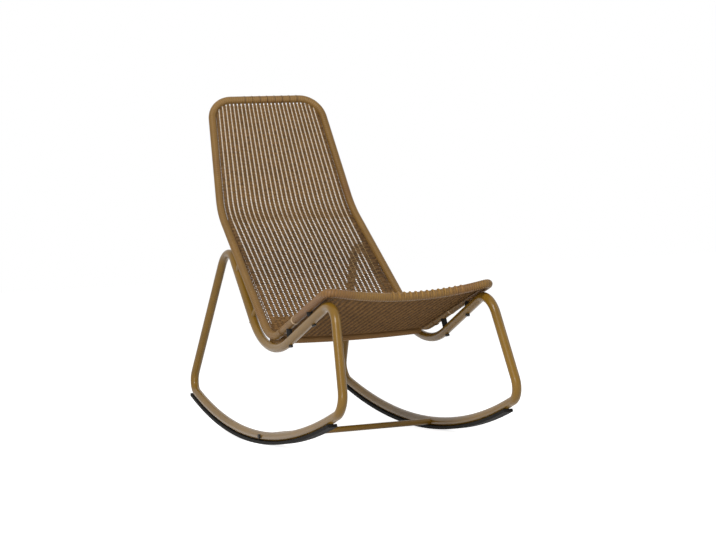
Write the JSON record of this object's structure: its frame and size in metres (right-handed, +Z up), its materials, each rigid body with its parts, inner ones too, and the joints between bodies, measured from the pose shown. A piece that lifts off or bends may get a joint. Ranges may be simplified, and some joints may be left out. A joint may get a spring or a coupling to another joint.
{
  "type": "rocking chaise lounge",
  "caption": "Rocking lounge chair: two bent tube side loops with curved runners carry a woven seat and back shell.",
  "frame": {"origin": "on the floor, under the middle of the chair's box", "axes": "+X to the sitter's left, -Y the way the sitter faces, +Z up"},
  "size_m": [0.4884, 1.0862, 0.8901],
  "materials": {
    "frame_coat": "satin mustard brown powder coat",
    "glide_plastic": "matt black",
    "bolt_steel": "black oxide",
    "spacer_plastic": "matt black",
    "strand_wrap": "flat brown strand wound tight on tube",
    "strand_tie": "flat pale brown strand",
    "weave_strand": "brown strand, close woven"
  },
  "bodies": {
    "root": {"right_side_frame": "frame_coat", "left_side_frame": "frame_coat", "right_runner_glide": "glide_plastic", "left_runner_glide": "glide_plastic", "cross_tube": "frame_coat", "cross_tube_plugs": "bolt_steel", "cross_tube_bolts": "bolt_steel", "back_hoop": "strand_wrap", "seat_hoop": "strand_wrap", "fold_tube": "strand_wrap", "right_seat_spacers": "spacer_plastic", "left_seat_spacers": "spacer_plastic", "right_back_spacers": "spacer_plastic", "left_back_spacers": "spacer_plastic", "seat_bolts": "bolt_steel", "back_bolts": "bolt_steel", "strand_ties": "strand_tie", "weave_stakes": "weave_strand", "edge_stakes": "weave_strand", "upper_back_rows": "weave_strand", "bend_rows": "weave_strand", "lower_back_rows": "weave_strand", "fold_rows": "weave_strand", "seat_rows": "weave_strand"}
  },
  "joints": []
}
